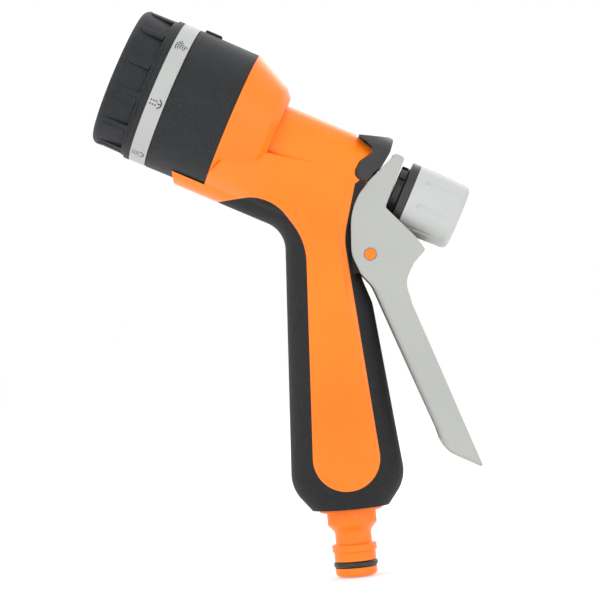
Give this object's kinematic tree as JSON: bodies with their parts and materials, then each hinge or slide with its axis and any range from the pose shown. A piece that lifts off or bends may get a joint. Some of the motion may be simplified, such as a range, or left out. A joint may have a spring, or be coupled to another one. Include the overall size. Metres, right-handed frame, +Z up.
{
  "type": "hose spray nozzle",
  "caption": "Pistol-grip garden hose spray nozzle with turning spray-pattern dial, rear trigger with lock, flow knob and quick-connect hose plug.",
  "frame": {"origin": "centre of the hose plug's end face", "axes": "+Z up the hose inlet, -X towards the spray head, +X towards the trigger, Y across the nozzle"},
  "size_m": [0.1386, 0.0552, 0.2173],
  "materials": {
    "orange_gloss": "moulded ABS, glossy",
    "black_rubber": "soft matte thermoplastic rubber, fine grain",
    "black_textured": "spark-eroded matte ABS",
    "black_satin": "satin ABS",
    "grey_satin": "satin ABS",
    "light_grey_satin": "satin ABS",
    "seal_rubber": "nitrile rubber, slightly glossy",
    "bright_steel": "stainless steel",
    "turned_brass": "turned brass",
    "white_acetal": "acetal moulding"
  },
  "bodies": {
    "body": {"body_shell": "orange_gloss", "soft_grip": "black_rubber", "hose_plug": "orange_gloss", "plug_o_ring": "seal_rubber", "inlet_gasket": "seal_rubber", "valve_spring": "bright_steel", "gland": "white_acetal", "gland_o_ring": "seal_rubber", "spindle_o_ring": "seal_rubber", "trigger_pin": "orange_gloss", "head_sleeve": "black_textured", "distributor": "white_acetal", "distributor_o_ring": "seal_rubber", "distributor_screws": "bright_steel", "port_seal": "seal_rubber", "port_seal_washer": "bright_steel", "detent_ball": "bright_steel", "detent_spring": "bright_steel", "dial_washer": "bright_steel", "dial_screw": "bright_steel"},
    "dial": {"pattern_plate": "white_acetal", "pattern_cells": "white_acetal", "spray_face": "light_grey_satin", "dial_cap": "black_satin", "dial_ring": "black_textured", "icon_ring": "light_grey_satin"},
    "trigger": {"trigger": "grey_satin"},
    "spindle": {"valve_spindle": "turned_brass", "valve_washer": "seal_rubber", "washer_retainer": "turned_brass"},
    "collar": {"flow_collar": "black_satin"},
    "knob": {"flow_knob": "light_grey_satin", "knob_nut": "turned_brass"},
    "latch": {"trigger_latch": "black_satin"}
  },
  "joints": [
    {"name": "dial_turn", "type": "hinge", "parent": "body", "child": "dial", "pos_m": [-0.05464, 0, 0.1856], "axis": [0.8813, 0, -0.4726], "continuous": true},
    {"name": "trigger_squeeze", "type": "hinge", "parent": "body", "child": "trigger", "pos_m": [0.0157, 0, 0.1191], "axis": [0, 1, 0], "range_deg": [0, 12]},
    {"name": "spindle_slide", "type": "slide", "parent": "body", "child": "spindle", "axis": [0.8813, 0, -0.4726], "range_m": [0, 0.00532], "stiffness_N_per_m": 1400, "springref_m": -0.006, "deforming": ["valve_spring"]},
    {"name": "knob_advance", "type": "slide", "parent": "spindle", "child": "collar", "axis": [0.8813, 0, -0.4726], "range_m": [0, 0.00225]},
    {"name": "knob_turn", "type": "hinge", "parent": "collar", "child": "knob", "pos_m": [0.03966, 0, 0.13503], "axis": [0.8813, 0, -0.4726], "range_deg": [0, 540.5]},
    {"name": "latch_flip", "type": "hinge", "parent": "body", "child": "latch", "pos_m": [0.01641, 0, 0.14966], "axis": [0, 1, 0], "range_deg": [0, 38.5]}
  ],
  "couplings": [
    {"joint": "trigger_squeeze", "follows": "spindle_slide", "rad_per_m": 39.37},
    {"joint": "latch_flip", "follows": "spindle_slide", "rad_per_m": 125.98},
    {"joint": "knob_turn", "follows": "knob_advance", "rad_per_m": 4188.8}
  ]
}
